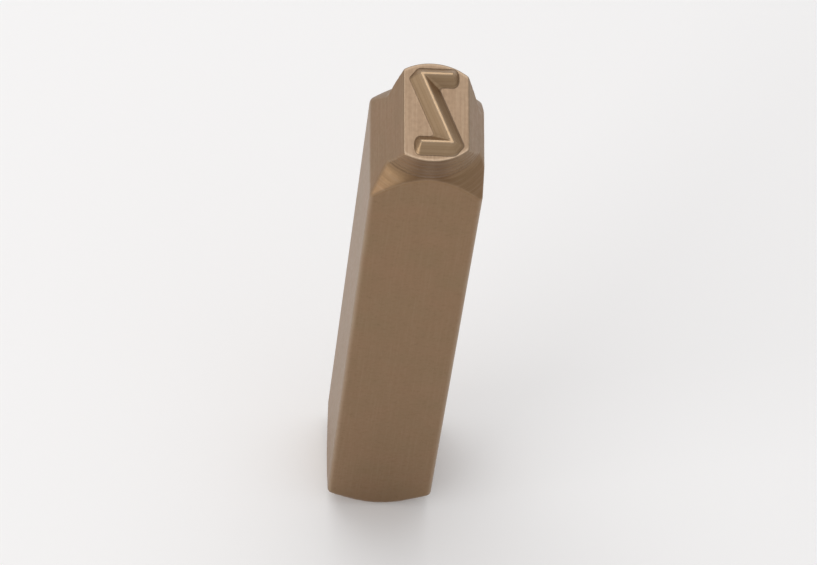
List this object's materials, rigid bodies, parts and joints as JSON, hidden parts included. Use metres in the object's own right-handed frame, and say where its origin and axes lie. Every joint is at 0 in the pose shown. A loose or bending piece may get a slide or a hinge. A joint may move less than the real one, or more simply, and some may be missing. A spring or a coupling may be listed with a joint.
{
  "type": "steel letter punch",
  "caption": "Square steel hand stamp with a raised mirror-image letter Z on a turned and milled end, for marking metal, leather or wood with a hammer blow.",
  "frame": {"origin": "centre of the struck end, at the bottom of the standing punch", "axes": "+Z along the bar from the struck end to the letter; -Y is the side that the foot of the letter points to; +X is to the right of someone who looks along +Y"},
  "size_m": [0.0094, 0.0094, 0.0667],
  "materials": {
    "punch_steel": "satin brown-grey heat-treated steel, as turned and milled, with slightly brighter edges"
  },
  "bodies": {
    "root": {"letter_punch": "punch_steel"}
  },
  "joints": []
}
